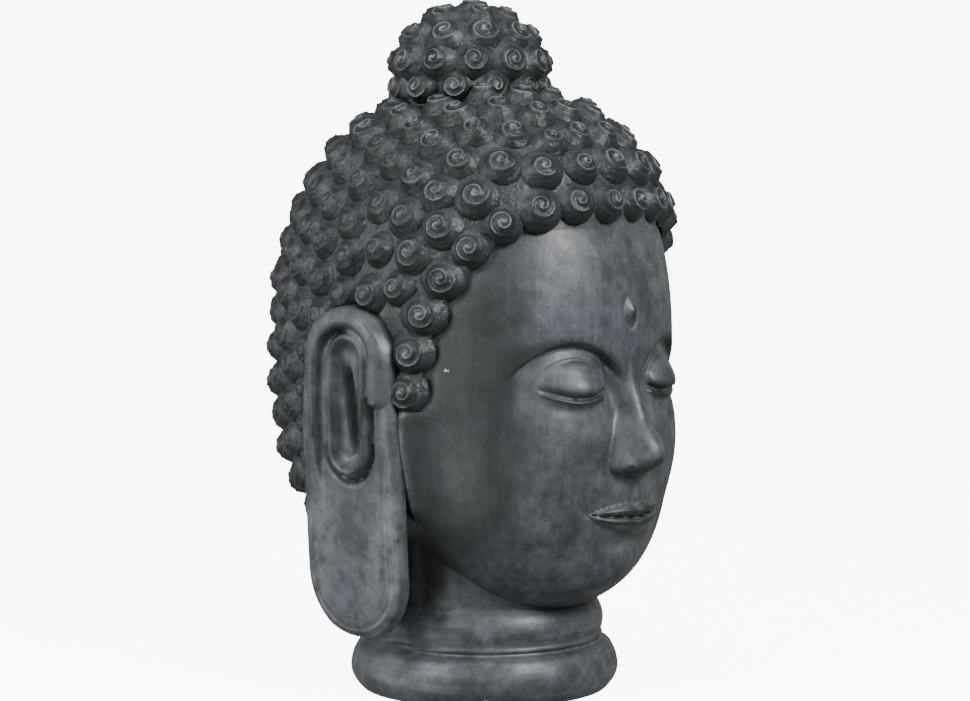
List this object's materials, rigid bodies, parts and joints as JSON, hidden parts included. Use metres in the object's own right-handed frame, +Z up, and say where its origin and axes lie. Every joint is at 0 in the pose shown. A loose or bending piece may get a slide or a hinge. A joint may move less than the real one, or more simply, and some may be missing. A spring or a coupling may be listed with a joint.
{
  "type": "buddha head garden statue",
  "caption": "Standing head with rows of snail-shell curls, a curled crown bump, long ear lobes, closed eyes and a round neck that flares to a flat foot.",
  "frame": {"origin": "on the underside, below the centre of the overall box", "axes": "+Z up through the crown, -Y the way the face looks, +X towards the head's own left ear"},
  "size_m": [0.3478, 0.3922, 0.5969],
  "materials": {
    "stone": "dark slate-grey coat on cast stone, dry-brushed paler on the high places, near black in the hollows, a few pale chips"
  },
  "bodies": {
    "root": {"buddha_head": "stone"}
  },
  "joints": []
}
